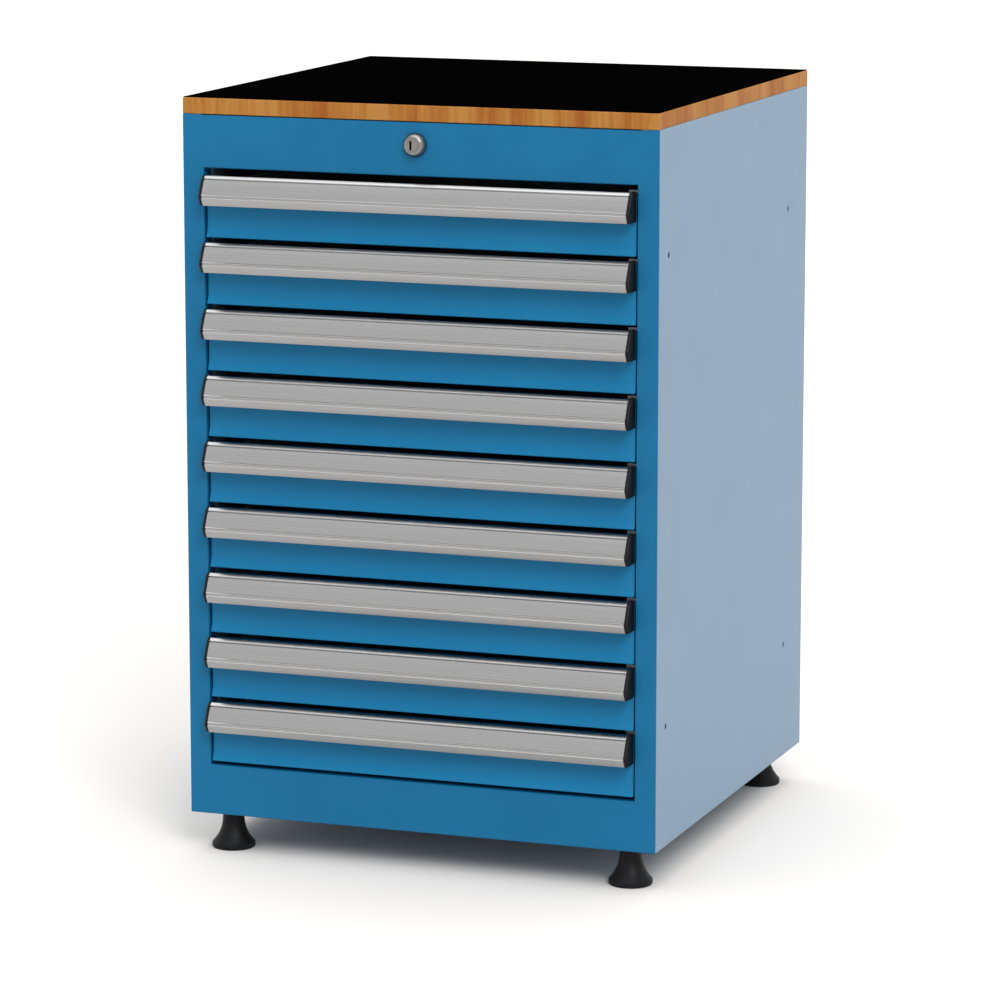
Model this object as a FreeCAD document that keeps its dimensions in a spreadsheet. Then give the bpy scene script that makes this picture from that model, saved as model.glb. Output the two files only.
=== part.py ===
import FreeCAD, Part
import os
import re
import Sketcher

# Workshop drawer cabinet: sheet steel body, nine full extension drawers with aluminium handle strips,
# a wooden worktop with a laminate, a central lock and four levelling feet.
# Millimetres. X runs to the right, Y to the back, Z up. The origin is on the floor, under the middle of
# the box that encloses the closed cabinet, handles included.

doc = FreeCAD.newDocument("DrawerCabinet")

drawerCount = 9  # drawer 1 is the top one
stapledDrawers = (2, 5, 8)  # the locking bar is held by a staple beside each of these

# Each size that can be set by itself
sizeValues = {
    # body
    "cabinetWidth": 564.0,
    "cabinetDepth": 572.0,
    "bodyHeight": 809.0,  # from its lower edge to the underside of the worktop
    "boardThickness": 18.0,
    "laminateThickness": 1.0,
    "shellSheet": 1.5,
    "postWidth": 25.0,
    "topRailHeight": 60.8,
    "bottomRailHeight": 58.2,
    "frameReturn": 17.0,  # depth of the frame's folded edges
    "flangeClear": 2.0,  # between a side panel's flange and the frame's folded edge
    "shadowGap": 1.0,  # under the front edge of the worktop
    "shadowGapEnd": 14.0,  # what the gap leaves at each corner
    # bolt holes in the side panels, to join cabinets side by side
    "boltHoleRadius": 3.5,
    "boltHoleFront": 36.4,
    "boltHoleSpacingY": 460.6,
    "boltHoleRise": 138.2,
    "boltHoleSpacingZ": 530.2,
    # drawer fronts
    "frontSideGap": 2.0,
    "frontTopGap": 7.3,
    "frontBottomGap": 4.6,
    "frontSpacing": 4.5,
    "frontRecess": 4.0,
    "frontThickness": 12.0,
    "frontSheet": 1.0,
    "frontSeam": 8.0,  # how far the front's rear flange laps over the edges of the tray
    "lipHeight": 10.0,
    "lipFlare": 3.0,
    # handle strip, measured outward from the frame's face and down from its own top edge
    "handleReach": 22.0,
    "handleHeight": 33.5,
    "handleWall": 2.0,
    "handleTopReach": 8.6,
    "handleLipReach": 13.4,
    "handleLipDrop": 4.2,
    "handleLineWidth": 0.8,  # dark line under the bright lip, and its depth
    "handleRidgeDrop": 22.0,
    "handleRidgeWidth": 1.8,
    "handleRidgeLead": 0.6,  # rounding above the ridge
    "handleRidgeHeight": 0.8,
    "handleGrooveWidth": 1.2,
    "handleFootReach": 17.0,
    "handleFlangeDrop": 12.0,
    "capThickness": 4.0,
    # trays
    "traySheet": 1.0,
    "trayDepth": 500.0,
    "trayRim": 6.0,
    "trayRise": 3.0,  # tray's underside above the front's lower edge
    "trayDrop": 9.5,  # tray's rim below the front's upper edge
    "slotWidth": 2.5,
    "slotHeight": 30.0,
    "slotRise": 14.0,
    "slotPitch": 51.0,
    # telescopic slides
    "slideInset": 1.0,  # mounting plane, inward from the edge of the frame's opening
    "slideThickness": 19.0,
    "slideHeight": 36.0,
    "slideLength": 500.0,
    "slideSheet": 1.2,
    "slideRise": 6.0,
    "slideClear": 4.0,  # from the drawer front to the slides
    "slideSideGap": 0.8,
    "slidingGap": 0.3,
    "uprightDepth": 30.0,
    "rearUprightInset": 62.0,
    # lock
    "lockDrop": 26.0,
    "lockOffset": 1.5,  # the lock is that far left of the middle
    "rosetteRadius": 13.8,
    "rosetteFaceRadius": 9.2,
    "rosetteReach": 9.6,
    "rosetteShoulderRadius": 12.3,  # where the rounded rosette turns from its face to its side
    "rosetteShoulderReach": 6.4,
    "rosetteRimReach": 1.7,
    "barrelRadius": 9.0,
    "barrelLength": 17.0,
    "barrelClear": 0.3,
    "lockNutRadius": 13.0,
    "lockNutThickness": 5.0,
    "plugRadius": 6.5,
    "plugClear": 0.05,
    "plugProud": 0.4,
    "keySlotHeight": 10.0,
    "keySlotWidth": 2.5,
    "keySlotDepth": 12.0,
    "keySlotOffset": 2.3,
    "camRadius": 12.0,  # from the plug's axis to the pin, also the travel of the locking bar
    "camThickness": 2.5,
    "camHalfWidth": 6.0,
    "camGap": 1.5,
    "camPinRadius": 2.0,
    "camPinClear": 3.0,
    # locking bar
    "barThickness": 3.0,
    "barWidth": 16.0,
    "barSideClear": 2.5,
    "barClear": 2.5,
    "barEdge": 7.0,  # material above and below the slot in the arm
    "barTail": 40.0,  # what the bar has below its lowest hook
    "hookHeight": 12.0,
    "hookLap": 12.0,  # how far a hook reaches past the tip of the lug's outer end
    "lugHeight": 10.0,
    "lugThickness": 3.0,
    "lugClear": 2.0,
    "lugGap": 3.0,
    "lugSideClear": 4.0,
    "stapleHeight": 12.0,
    "stapleWall": 1.0,
    # levelling feet
    "footHeight": 45.0,
    "footInsetX": 39.3,
    "footInsetFront": 32.0,
    "footInsetRear": 40.0,
    "footRadius": 25.0,
    "footRimHeight": 6.0,
    "footRimChamfer": 1.2,
    "footStemRadius": 12.5,
    "footFlareTop": 36.0,
    "studRadius": 5.0,
    "studClear": 0.05,
    "studTail": 20.0,
    "weldNutRadius": 9.5,
    "weldNutHeight": 8.0,
    "studHoleClear": 0.5,
}

# What follows from the sizes; Y of the drawer pieces is measured from the frame's face
placeFormulas = {
    "halfWidth": "cabinetWidth / 2",
    "frontPlane": "(handleReach - cabinetDepth) / 2",
    "bodyTop": "footHeight + bodyHeight",
    "panelDepth": "cabinetDepth - 2 * shellSheet",
    "flangeDepth": "postWidth - 2 * shellSheet - flangeClear",
    "openingHalf": "halfWidth - postWidth",
    "openingBottom": "footHeight + bottomRailHeight",
    "openingTop": "bodyTop - topRailHeight",
    "frontHalf": "openingHalf - frontSideGap",
    "frontHeight": (
        "(openingTop - openingBottom - frontTopGap - frontBottomGap"
        f" - {drawerCount - 1} * frontSpacing) / {drawerCount}"
    ),
    "drawerPitch": "frontHeight + frontSpacing",
    "lowestFront": "openingBottom + frontBottomGap",
    "frontRear": "frontRecess + frontThickness",
    "mountHalf": "openingHalf - slideInset",
    "trayHalf": "mountHalf - slideThickness",
    "trayTop": "frontHeight - trayDrop",
    "slideStart": "frontRear + slideClear",
    "slideBottom": "trayRise + slideRise",
    "slideMiddle": "slideBottom + slideHeight / 2",
    "lugBottom": "slideBottom + slideHeight + lugClear",
    "hookBottom": "lugBottom + lugHeight + lugClear",
    "barFront": "shellSheet + frameReturn + barClear",
    "barOuter": "halfWidth - shellSheet - barSideClear",
    "uprightStart": "barFront + barThickness + slidingGap",
    "uprightBottom": "footHeight + 2 * shellSheet",
    "uprightHeight": "bodyTop - shellSheet - uprightBottom",
    "lockHeight": "bodyTop - lockDrop",
    "camFront": "barFront - camGap - camThickness",
    "armHalfHeight": "camPinRadius + camPinClear + barEdge",
    "footTop": "footHeight + shellSheet - slidingGap",
    "weldNutBottom": "footHeight + 2 * shellSheet",
    "studTop": "weldNutBottom + weldNutHeight + studTail",
}


def fillSheet(name, cells):
    sheet = doc.addObject("Spreadsheet::Sheet", name)
    for row, (alias, content) in enumerate(cells.items(), start=1):
        sheet.set(f"A{row}", alias)
        sheet.set(f"B{row}", content)
        sheet.setAlias(f"B{row}", alias)
    doc.recompute()
    return sheet


def full(expression):
    """The expression with each size's own sheet named before it."""
    def named(match):
        word = match.group()
        if word in sizeValues:
            return f"Sizes.{word}"
        if word in placeFormulas:
            return f"Places.{word}"
        return word

    return re.sub(r"[A-Za-z]\w*", named, str(expression))


sizes = fillSheet("Sizes", {alias: str(value) for alias, value in sizeValues.items()})
places = fillSheet("Places", {alias: "=" + full(formula) for alias, formula in placeFormulas.items()})


def valueOf(expression):
    return float(sizes.evalExpression(full(expression)))


def bind(item, **bindings):
    """Ties properties to expressions; X, Y and Z stand for the item's place."""
    for name, expression in bindings.items():
        path = f"Placement.Base.{name.lower()}" if name in ("X", "Y", "Z") else name
        item.setExpression(path, full(expression))
    return item


def box(name, x, y, z, along, deep, tall):
    solid = doc.addObject("Part::Box", name)
    return bind(solid, X=x, Y=y, Z=z, Length=along, Width=deep, Height=tall)


def rod(name, x, y, z, radius, length, axis=(0, 0, 1)):
    solid = doc.addObject("Part::Cylinder", name)
    solid.Placement.Rotation = FreeCAD.Rotation(FreeCAD.Vector(0, 0, 1), FreeCAD.Vector(*axis))
    return bind(solid, X=x, Y=y, Z=z, Radius=radius, Height=length)


def hexagon(name, x, y, z, radius, length, axis=(0, 0, 1)):
    solid = doc.addObject("Part::Prism", name)
    solid.Polygon = 6
    solid.Placement.Rotation = FreeCAD.Rotation(FreeCAD.Vector(0, 0, 1), FreeCAD.Vector(*axis))
    return bind(solid, X=x, Y=y, Z=z, Circumradius=radius, Height=length)


def cut(name, base, tool):
    result = doc.addObject("Part::Cut", name)
    result.Base = base
    result.Tool = tool
    return result


def join(name, pieces):
    result = doc.addObject("Part::MultiFuse", name)
    result.Shapes = pieces
    return result


def group(name, pieces):
    """Separate solids that make one node."""
    result = doc.addObject("Part::Compound", name)
    result.Links = pieces
    return result


def mirrored(name, source):
    result = doc.addObject("Part::Mirroring", name)
    result.Source = source
    result.Base = (0, 0, 0)
    result.Normal = (1, 0, 0)
    return result


def newBody(name, several=False):
    body = doc.addObject("PartDesign::Body", name)
    body.AllowCompound = several
    return body


def onPlane(body, name, role, offset="0"):
    sketch = body.newObject("Sketcher::SketchObject", name)
    plane = next(part for part in body.Origin.OriginFeatures if part.Role == role)
    sketch.AttachmentSupport = [(plane, "")]
    sketch.MapMode = "FlatFace"
    sketch.setExpression("AttachmentOffset.Base.z", full(offset))
    return sketch


def pinPoint(sketch, edge, end, place):
    """Holds one end of an edge at the two distances from the sketch's origin."""
    for kind, axis, expression in (("DistanceX", -2, place[0]), ("DistanceY", -1, place[1])):
        if expression == "0":
            sketch.addConstraint(Sketcher.Constraint("PointOnObject", edge, end, axis))
            continue
        constraint = Sketcher.Constraint(kind, -1, 1, edge, end, valueOf(expression))
        number = sketch.addConstraint(constraint)
        sketch.setExpression(f"Constraints[{number}]", full(expression))


def outline(sketch, points):
    """A closed outline of straight edges through the points."""
    first = sketch.GeometryCount
    spots = [FreeCAD.Vector(valueOf(u), valueOf(v), 0) for u, v in points]
    for start, end in zip(spots, spots[1:] + spots[:1]):
        sketch.addGeometry(Part.LineSegment(start, end), False)
    for number, place in enumerate(points):
        following = first + (number + 1) % len(points)
        sketch.addConstraint(Sketcher.Constraint("Coincident", first + number, 2, following, 1))
        pinPoint(sketch, first + number, 1, place)


def rectangle(sketch, left, bottom, right, top):
    outline(sketch, [(left, bottom), (right, bottom), (right, top), (left, top)])


def circle(sketch, u, v, radius):
    middle = FreeCAD.Vector(valueOf(u), valueOf(v), 0)
    ring = Part.Circle(middle, FreeCAD.Vector(0, 0, 1), valueOf(radius))
    number = sketch.addGeometry(ring, False)
    pinPoint(sketch, number, 3, (u, v))
    constraint = sketch.addConstraint(Sketcher.Constraint("Radius", number, valueOf(radius)))
    sketch.setExpression(f"Constraints[{constraint}]", full(radius))


def feature(kind, body, name, sketch, length, reverse=False, symmetric=False):
    result = body.newObject(f"PartDesign::{kind}", name)
    result.Profile = sketch
    result.Reversed = reverse
    result.Midplane = symmetric
    return bind(result, Length=length)


def pad(*arguments, **settings):
    return feature("Pad", *arguments, **settings)


def pocket(*arguments, **settings):
    return feature("Pocket", *arguments, **settings)


def pattern(body, name, original, sketch, axis, offset, count):
    """Copies of a feature along an axis of its sketch."""
    result = body.newObject("PartDesign::LinearPattern", name)
    result.Originals = [original]
    result.Direction = (sketch, [axis])
    result.Mode = "Spacing"
    result.Occurrences = count
    bind(result, Offset=offset)
    body.Tip = result
    return result


def drawerBottom(number):
    return f"lowestFront + {drawerCount - number} * drawerPitch"


nodes = []


def node(item, label, **place):
    """Names a sub-part and puts it in its place."""
    item.Label = label
    bind(item, **place)
    nodes.append(item)
    return item


# Front frame: face plate, folded edges round the opening, top and bottom flanges
def frontFrame():
    body = newBody("frame_body")
    face = onPlane(body, "frame_face", "XZ_Plane")
    gapTop = "bodyTop - shadowGap"
    gapEnd = "halfWidth - shadowGapEnd"
    outline(face, [
        ("-halfWidth", "footHeight"),
        ("halfWidth", "footHeight"),
        ("halfWidth", "bodyTop"),
        (gapEnd, "bodyTop"),
        (gapEnd, gapTop),
        (f"-({gapEnd})", gapTop),
        (f"-({gapEnd})", "bodyTop"),
        ("-halfWidth", "bodyTop"),
    ])
    rectangle(face, "-openingHalf", "openingBottom", "openingHalf", "openingTop")
    pad(body, "frame_plate", face, "shellSheet", reverse=True)

    edges = onPlane(body, "frame_edges", "XZ_Plane", "-shellSheet")
    rectangle(edges, "-openingHalf - shellSheet", "openingBottom - shellSheet",
              "openingHalf + shellSheet", "openingTop + shellSheet")
    rectangle(edges, "-openingHalf", "openingBottom", "openingHalf", "openingTop")
    pad(body, "frame_fold", edges, "frameReturn", reverse=True)

    flangeHalf = "halfWidth - shellSheet - flangeDepth"
    flanges = onPlane(body, "frame_flanges", "XZ_Plane", "-shellSheet")
    for low, high in (("footHeight", "footHeight + shellSheet"), (f"{gapTop} - shellSheet", gapTop)):
        rectangle(flanges, f"-({flangeHalf})", low, flangeHalf, high)
    pad(body, "frame_flange", flanges, "frameReturn", reverse=True)

    lockHole = onPlane(body, "lock_hole_face", "XZ_Plane")
    circle(lockHole, "-lockOffset", "lockHeight", "barrelRadius + barrelClear")
    pocket(body, "lock_hole", lockHole, "shellSheet")
    node(body, "front_frame", Y="frontPlane")


# Side panel: a pan with a flange on each edge, four bolt holes, two uprights for the slides
def sidePanel(label, isRight):
    side = 1 if isRight else -1
    body = newBody(label + "_pan")
    flat = onPlane(body, label + "_flat", "YZ_Plane")
    rectangle(flat, "shellSheet", "footHeight", "shellSheet + panelDepth", "bodyTop")
    pad(body, label + "_block", flat, "shellSheet + flangeDepth")

    inner = onPlane(body, label + "_inner", "YZ_Plane", "shellSheet + flangeDepth")
    low = "footHeight + shellSheet"
    high = "bodyTop - shellSheet"
    rectangle(inner, "2 * shellSheet", low, "panelDepth", high)
    pocket(body, label + "_hollow", inner, "flangeDepth")

    holes = onPlane(body, label + "_holes", "YZ_Plane", "shellSheet")
    for y in ("boltHoleFront", "boltHoleFront + boltHoleSpacingY"):
        for z in ("footHeight + boltHoleRise", "footHeight + boltHoleRise + boltHoleSpacingZ"):
            circle(holes, y, z, "boltHoleRadius")
    pocket(body, label + "_drilled", holes, "shellSheet")

    uprights = []
    reach = "halfWidth - shellSheet - mountHalf"
    rearStart = "cabinetDepth - rearUprightInset - uprightDepth"
    for name, start in (("front", "uprightStart"), ("rear", rearStart)):
        outer = box(f"{label}_{name}_outer", "shellSheet", start, "uprightBottom",
                    reach, "uprightDepth", "uprightHeight")
        inside = box(f"{label}_{name}_inside", "shellSheet", f"{start} + shellSheet", "uprightBottom",
                     f"{reach} - shellSheet", "uprightDepth - 2 * shellSheet", "uprightHeight")
        uprights.append(cut(f"{label}_{name}_upright", outer, inside))

    if isRight:
        uprights += barStaples()
        turned = [mirrored(f"{piece.Name}_turned", piece) for piece in [body] + uprights]
        panel = group(label + "_pieces", turned)
    else:
        panel = group(label + "_pieces", [body] + uprights)
    node(panel, label, X=f"{side} * halfWidth", Y="frontPlane")


# Staples on the right front upright, in which the locking bar slides
def barStaples():
    staples = []
    inner = "shellSheet + barSideClear - slidingGap"
    front = "barFront - slidingGap"
    wide = "barWidth + 2 * slidingGap"
    deep = "barThickness + 2 * slidingGap"
    for number in stapledDrawers:
        name = f"staple_{number}"
        z = f"{drawerBottom(number)} + slideBottom"
        outer = box(name + "_outer", f"{inner} - stapleWall", f"{front} - stapleWall", z,
                    f"{wide} + 2 * stapleWall", f"{deep} + stapleWall", "stapleHeight")
        inside = box(name + "_inside", inner, front, z, wide, deep, "stapleHeight")
        staples.append(cut(name, outer, inside))
    return staples


def backPanel():
    panel = box("back_sheet", "-halfWidth", "frontPlane + cabinetDepth - shellSheet", "footHeight",
                "cabinetWidth", "shellSheet", "bodyHeight")
    node(panel, "back_panel")


footSpots = {
    "front_left": ("footInsetX - halfWidth", "frontPlane + footInsetFront"),
    "front_right": ("halfWidth - footInsetX", "frontPlane + footInsetFront"),
    "rear_left": ("footInsetX - halfWidth", "frontPlane + cabinetDepth - footInsetRear"),
    "rear_right": ("halfWidth - footInsetX", "frontPlane + cabinetDepth - footInsetRear"),
}


# Base plate on the lower flanges, with a weld nut for each foot
def basePlate():
    plate = box("base_sheet", "shellSheet - halfWidth", "frontPlane + 2 * shellSheet",
                "footHeight + shellSheet", "cabinetWidth - 2 * shellSheet",
                "cabinetDepth - 4 * shellSheet", "shellSheet")
    holes = []
    nuts = []
    for spot, (x, y) in footSpots.items():
        holeRadius = "studRadius + studHoleClear"
        holes.append(rod(f"base_hole_{spot}", x, y, "footHeight", holeRadius, "2 * shellSheet"))
        nut = hexagon(f"nut_block_{spot}", x, y, "weldNutBottom", "weldNutRadius", "weldNutHeight")
        bore = rod(f"nut_bore_{spot}", x, y, "weldNutBottom", "studRadius + studClear", "weldNutHeight")
        nuts.append(cut(f"weld_nut_{spot}", nut, bore))
    drilled = cut("base_drilled", plate, join("base_holes", holes))
    node(group("base_pieces", [drilled] + nuts), "base_plate")


def worktop():
    board = box("board", "-halfWidth", "frontPlane", "bodyTop",
                "cabinetWidth", "cabinetDepth", "boardThickness")
    laminate = box("laminate", "-halfWidth", "frontPlane", "bodyTop + boardThickness",
                   "cabinetWidth", "cabinetDepth", "laminateThickness")
    node(board, "worktop_board")
    node(laminate, "worktop_laminate")


# Section of one slide member, a channel seen from the front; inset counts the members outside it
def channel(sketch, inset, opensInward):
    half = f"slideHeight / 2 - {inset} * (slideSheet + slidingGap)"
    if opensInward:
        web = f"mountHalf - {inset} * (slideSheet + slidingGap)"
        tip = "trayHalf + slideSideGap"
        inner = f"{web} - slideSheet"
    else:
        web = "trayHalf"
        tip = f"mountHalf - {inset} * (slideSheet + slidingGap) - slideSideGap"
        inner = "trayHalf + slideSheet"
    low = f"slideMiddle - ({half})"
    high = f"slideMiddle + ({half})"
    outline(sketch, [
        (web, low),
        (tip, low),
        (tip, f"{low} + slideSheet"),
        (inner, f"{low} + slideSheet"),
        (inner, f"{high} - slideSheet"),
        (tip, f"{high} - slideSheet"),
        (tip, high),
        (web, high),
    ])


def railBody(name, inset, opensInward, several=False):
    body = newBody(name, several)
    section = onPlane(body, name + "_section", "XZ_Plane", "-slideStart")
    channel(section, inset, opensInward)
    length = pad(body, name + "_length", section, "slideLength", reverse=True)
    return body, section, length


# Fixed members of all the slides
def cabinetRails():
    body, section, length = railBody("fixed_rail", 0, True, several=True)
    pattern(body, "fixed_rails", length, section, "V_Axis", "drawerPitch", drawerCount)
    node(group("fixed_rail_pairs", [body, mirrored("fixed_rails_left", body)]), "cabinet_rails",
         Y="frontPlane", Z="lowestFront")


# Lock: rosette and barrel in one, its nut, the plug with its cam and pin
def lock():
    housing = newBody("lock_housing_body")
    half = onPlane(housing, "lock_housing_half", "XY_Plane")
    outline(half, [
        ("plugRadius + plugClear", "-rosetteReach"),
        ("rosetteFaceRadius", "-rosetteReach"),
        ("rosetteShoulderRadius", "-rosetteShoulderReach"),
        ("rosetteRadius", "-rosetteRimReach"),
        ("rosetteRadius", "0"),
        ("barrelRadius", "0"),
        ("barrelRadius", "barrelLength"),
        ("plugRadius + plugClear", "barrelLength"),
    ])
    turned = housing.newObject("PartDesign::Revolution", "lock_housing_turned")
    turned.Profile = half
    turned.ReferenceAxis = (half, ["V_Axis"])
    turned.Angle = 360
    along = (0, 1, 0)
    nutBlock = hexagon("lock_nut_block", "0", "shellSheet", "0", "lockNutRadius", "lockNutThickness", along)
    nutBore = rod("lock_nut_bore", "0", "shellSheet", "0",
                  "barrelRadius + plugClear", "lockNutThickness", along)
    nut = cut("lock_nut", nutBlock, nutBore)
    node(group("lock_housing_pieces", [housing, nut]), "lock_housing",
         X="-lockOffset", Y="frontPlane", Z="lockHeight")

    start = "-rosetteReach - plugProud"
    core = rod("plug_core", "0", start, "0", "plugRadius", f"camFront + camThickness - ({start})", along)
    keySlot = box("key_slot", "-keySlotOffset - keySlotWidth / 2", start, "-keySlotHeight / 2",
                  "keySlotWidth", "keySlotDepth", "keySlotHeight")
    slotted = cut("plug_slotted", core, keySlot)
    lever = box("cam_lever", "0", "camFront", "-camHalfWidth",
                "camRadius", "camThickness", "2 * camHalfWidth")
    leverEnd = rod("cam_end", "camRadius", "camFront", "0", "camHalfWidth", "camThickness", along)
    pin = rod("cam_pin", "camRadius", "camFront", "0", "camPinRadius",
              "camThickness + camGap + barThickness", along)
    node(join("plug_pieces", [slotted, lever, leverEnd, pin]), "lock_plug",
         X="-lockOffset", Y="frontPlane", Z="lockHeight")


# Locking bar: an arm from the cam, an upright bar and a hook over each catch lug
def lockingBar():
    slotReach = "camPinRadius + camPinClear"
    armStart = f"-({slotReach}) - barEdge - lockOffset"
    arm = box("arm_block", armStart, "barFront", "lockHeight - armHalfHeight",
              f"barOuter - ({armStart})", "barThickness", "2 * armHalfHeight")
    armSlot = box("arm_slot", f"-({slotReach}) - lockOffset", "barFront", f"lockHeight - ({slotReach})",
                  f"camRadius + 2 * ({slotReach})", "barThickness", f"2 * ({slotReach})")
    bar = box("bar_strip", "barOuter - barWidth", "barFront", "lowestFront + hookBottom - barTail",
              "barWidth", "barThickness",
              "lockHeight - armHalfHeight - (lowestFront + hookBottom - barTail)")
    hooks = newBody("hook_body", several=True)
    hookFace = onPlane(hooks, "hook_face", "XZ_Plane", "-barFront")
    low = "lowestFront + hookBottom"
    tip = "mountHalf - lugSideClear - hookLap"
    rectangle(hookFace, tip, low, "barOuter - barWidth", f"{low} + hookHeight")
    hook = pad(hooks, "hook", hookFace, "barThickness", reverse=True)
    pattern(hooks, "hooks", hook, hookFace, "V_Axis", "drawerPitch", drawerCount)
    node(group("bar_pieces", [cut("arm", arm, armSlot), bar, hooks]), "locking_bar", Y="frontPlane")


# Levelling foot: a bell with a concave flare, and the stud moulded into it
def foot(spot):
    x, y = footSpots[spot]
    body = newBody(f"foot_body_{spot}")
    half = onPlane(body, f"foot_half_{spot}", "XZ_Plane")
    points = [
        ("0", "0"),
        ("footRadius - footRimChamfer", "0"),
        ("footRadius", "footRimChamfer"),
        ("footRadius", "footRimHeight"),
        ("footStemRadius", "footFlareTop"),
        ("footStemRadius", "footTop"),
        ("studRadius", "footTop"),
        ("studRadius", "studTop"),
        ("0", "studTop"),
    ]
    flare = 3  # the edge after this point is the arc that meets the stem without a corner
    run = "(footRadius - footStemRadius)"
    rise = "(footFlareTop - footRimHeight)"
    arcRadius = valueOf(f"({run} * {run} + {rise} * {rise}) / (2 * {run})")
    centre = FreeCAD.Vector(valueOf("footStemRadius") + arcRadius, valueOf("footFlareTop"), 0)
    spots = [FreeCAD.Vector(valueOf(u), valueOf(v), 0) for u, v in points]
    toMiddle = (spots[flare] + spots[flare + 1]) * 0.5 - centre
    middle = centre + toMiddle.normalize() * arcRadius
    for number, start in enumerate(spots):
        end = spots[(number + 1) % len(spots)]
        edge = Part.Arc(start, middle, end) if number == flare else Part.LineSegment(start, end)
        half.addGeometry(edge, False)
    # an arc's own ends run the other way round, so its first end is on the stem
    firstEnd = {number: 1 for number in range(len(points))}
    lastEnd = {number: 2 for number in range(len(points))}
    distances = [(half.getPoint(flare, end) - spots[flare]).Length for end in (1, 2)]
    if distances[0] > distances[1]:
        firstEnd[flare], lastEnd[flare] = 2, 1
    for number, place in enumerate(points):
        following = (number + 1) % len(points)
        meeting = (number, lastEnd[number], following, firstEnd[following])
        half.addConstraint(Sketcher.Constraint("Coincident", *meeting))
        pinPoint(half, number, firstEnd[number], place)
    level = half.addConstraint(Sketcher.Constraint("DistanceY", -1, 1, flare, 3, valueOf("footFlareTop")))
    half.setExpression(f"Constraints[{level}]", full("footFlareTop"))
    turned = body.newObject("PartDesign::Revolution", f"foot_turned_{spot}")
    turned.Profile = half
    turned.ReferenceAxis = (half, ["V_Axis"])
    turned.Angle = 360
    node(body, f"foot_{spot}", X=x, Y=y)


# Drawer front: a hollow panel whose lower lip flares forward, with a flange round the back for the tray
def drawerFront(number):
    name = f"front_{number}"
    body = newBody(name)
    section = onPlane(body, name + "_section", "YZ_Plane")
    outline(section, [
        ("frontRecess - lipFlare", "0"),
        ("frontRear", "0"),
        ("frontRear", "frontHeight"),
        ("frontRecess", "frontHeight"),
        ("frontRecess", "lipHeight"),
    ])
    pad(body, name + "_block", section, "2 * frontHalf", symmetric=True)
    rear = onPlane(body, name + "_rear", "XZ_Plane", "-frontRear")
    side = "frontHalf - frontSheet"
    rectangle(rear, f"-({side})", "frontSheet", side, "frontHeight - frontSheet")
    pocket(body, name + "_hollow", rear, "frontThickness - frontSheet", reverse=True)
    seam = onPlane(body, name + "_seam", "XZ_Plane", "-(frontRear - frontSheet)")
    rectangle(seam, "-frontHalf", "0", "frontHalf", "frontHeight")
    side = "trayHalf - frontSeam"
    rectangle(seam, f"-({side})", "trayRise + frontSeam", side, "trayTop - frontSeam")
    pad(body, name + "_flange", seam, "frontSheet", reverse=True)
    node(body, f"drawer_{number}_front", Y="frontPlane", Z=drawerBottom(number))


# Handle strip: bright lip, dark line, sloping face, ridge, groove and the lower edge turned back
def handleOutline(sketch):
    slope = "((handleReach - handleLipReach) / (handleRidgeDrop - handleLipDrop))"
    faceStart = "(handleLipDrop + handleLineWidth)"
    ridgeEnd = "(handleRidgeDrop + handleRidgeWidth)"
    grooveEnd = f"({ridgeEnd} + handleGrooveWidth)"
    reachAtRidge = "(handleReach - handleRidgeHeight)"
    turnBack = f"((handleReach - handleFootReach) / (handleHeight - {grooveEnd}))"
    innerTop = "handleTopReach - handleWall / 2"
    places = [
        ("-frontRecess", "0"),
        ("handleTopReach", "0"),
        ("handleLipReach", "handleLipDrop"),
        ("handleLipReach - handleLineWidth", "handleLipDrop"),
        ("handleLipReach - handleLineWidth", faceStart),
        (f"handleLipReach + {slope} * handleLineWidth - handleRidgeHeight / 2", faceStart),
        (reachAtRidge, "handleRidgeDrop"),
        ("handleReach", "handleRidgeDrop + handleRidgeLead"),
        ("handleReach", ridgeEnd),
        (reachAtRidge, ridgeEnd),
        (reachAtRidge, grooveEnd),
        ("handleReach", grooveEnd),
        ("handleFootReach", "handleHeight"),
        ("handleFootReach - handleWall", "handleHeight"),
        (f"handleReach - handleWall - {turnBack} * handleGrooveWidth", grooveEnd),
        ("handleReach - handleWall - handleRidgeHeight", "handleRidgeDrop"),
        (f"handleLipReach - handleWall - handleRidgeHeight", faceStart),
        (innerTop, "handleWall"),
        ("handleWall - frontRecess", "handleWall"),
        ("handleWall - frontRecess", "handleFlangeDrop"),
        ("-frontRecess", "handleFlangeDrop"),
    ]
    outline(sketch, [(f"-({reach})", f"frontHeight - ({drop})") for reach, drop in places])


def handle(number):
    name = f"strip_{number}"
    body = newBody(name)
    section = onPlane(body, name + "_section", "YZ_Plane")
    handleOutline(section)
    pad(body, name + "_length", section, "2 * (frontHalf - capThickness)", symmetric=True)
    node(body, f"drawer_{number}_handle", Y="frontPlane", Z=drawerBottom(number))


# End caps: closed plates with the strip's outer outline
def endCaps(number):
    name = f"cap_{number}"
    body = newBody(name)
    section = onPlane(body, name + "_section", "YZ_Plane", "frontHalf - capThickness")
    places = [
        ("-frontRecess", "0"),
        ("handleTopReach", "0"),
        ("handleLipReach", "handleLipDrop"),
        ("handleReach", "handleRidgeDrop + handleRidgeLead"),
        ("handleReach", "handleRidgeDrop + handleRidgeWidth + handleGrooveWidth"),
        ("handleFootReach", "handleHeight"),
        ("-frontRecess", "handleHeight"),
    ]
    outline(section, [(f"-({reach})", f"frontHeight - ({drop})") for reach, drop in places])
    pad(body, name + "_plate", section, "capThickness")
    pair = group(name + "_pair", [body, mirrored(name + "_left", body)])
    node(pair, f"drawer_{number}_end_caps", Y="frontPlane", Z=drawerBottom(number))


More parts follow.
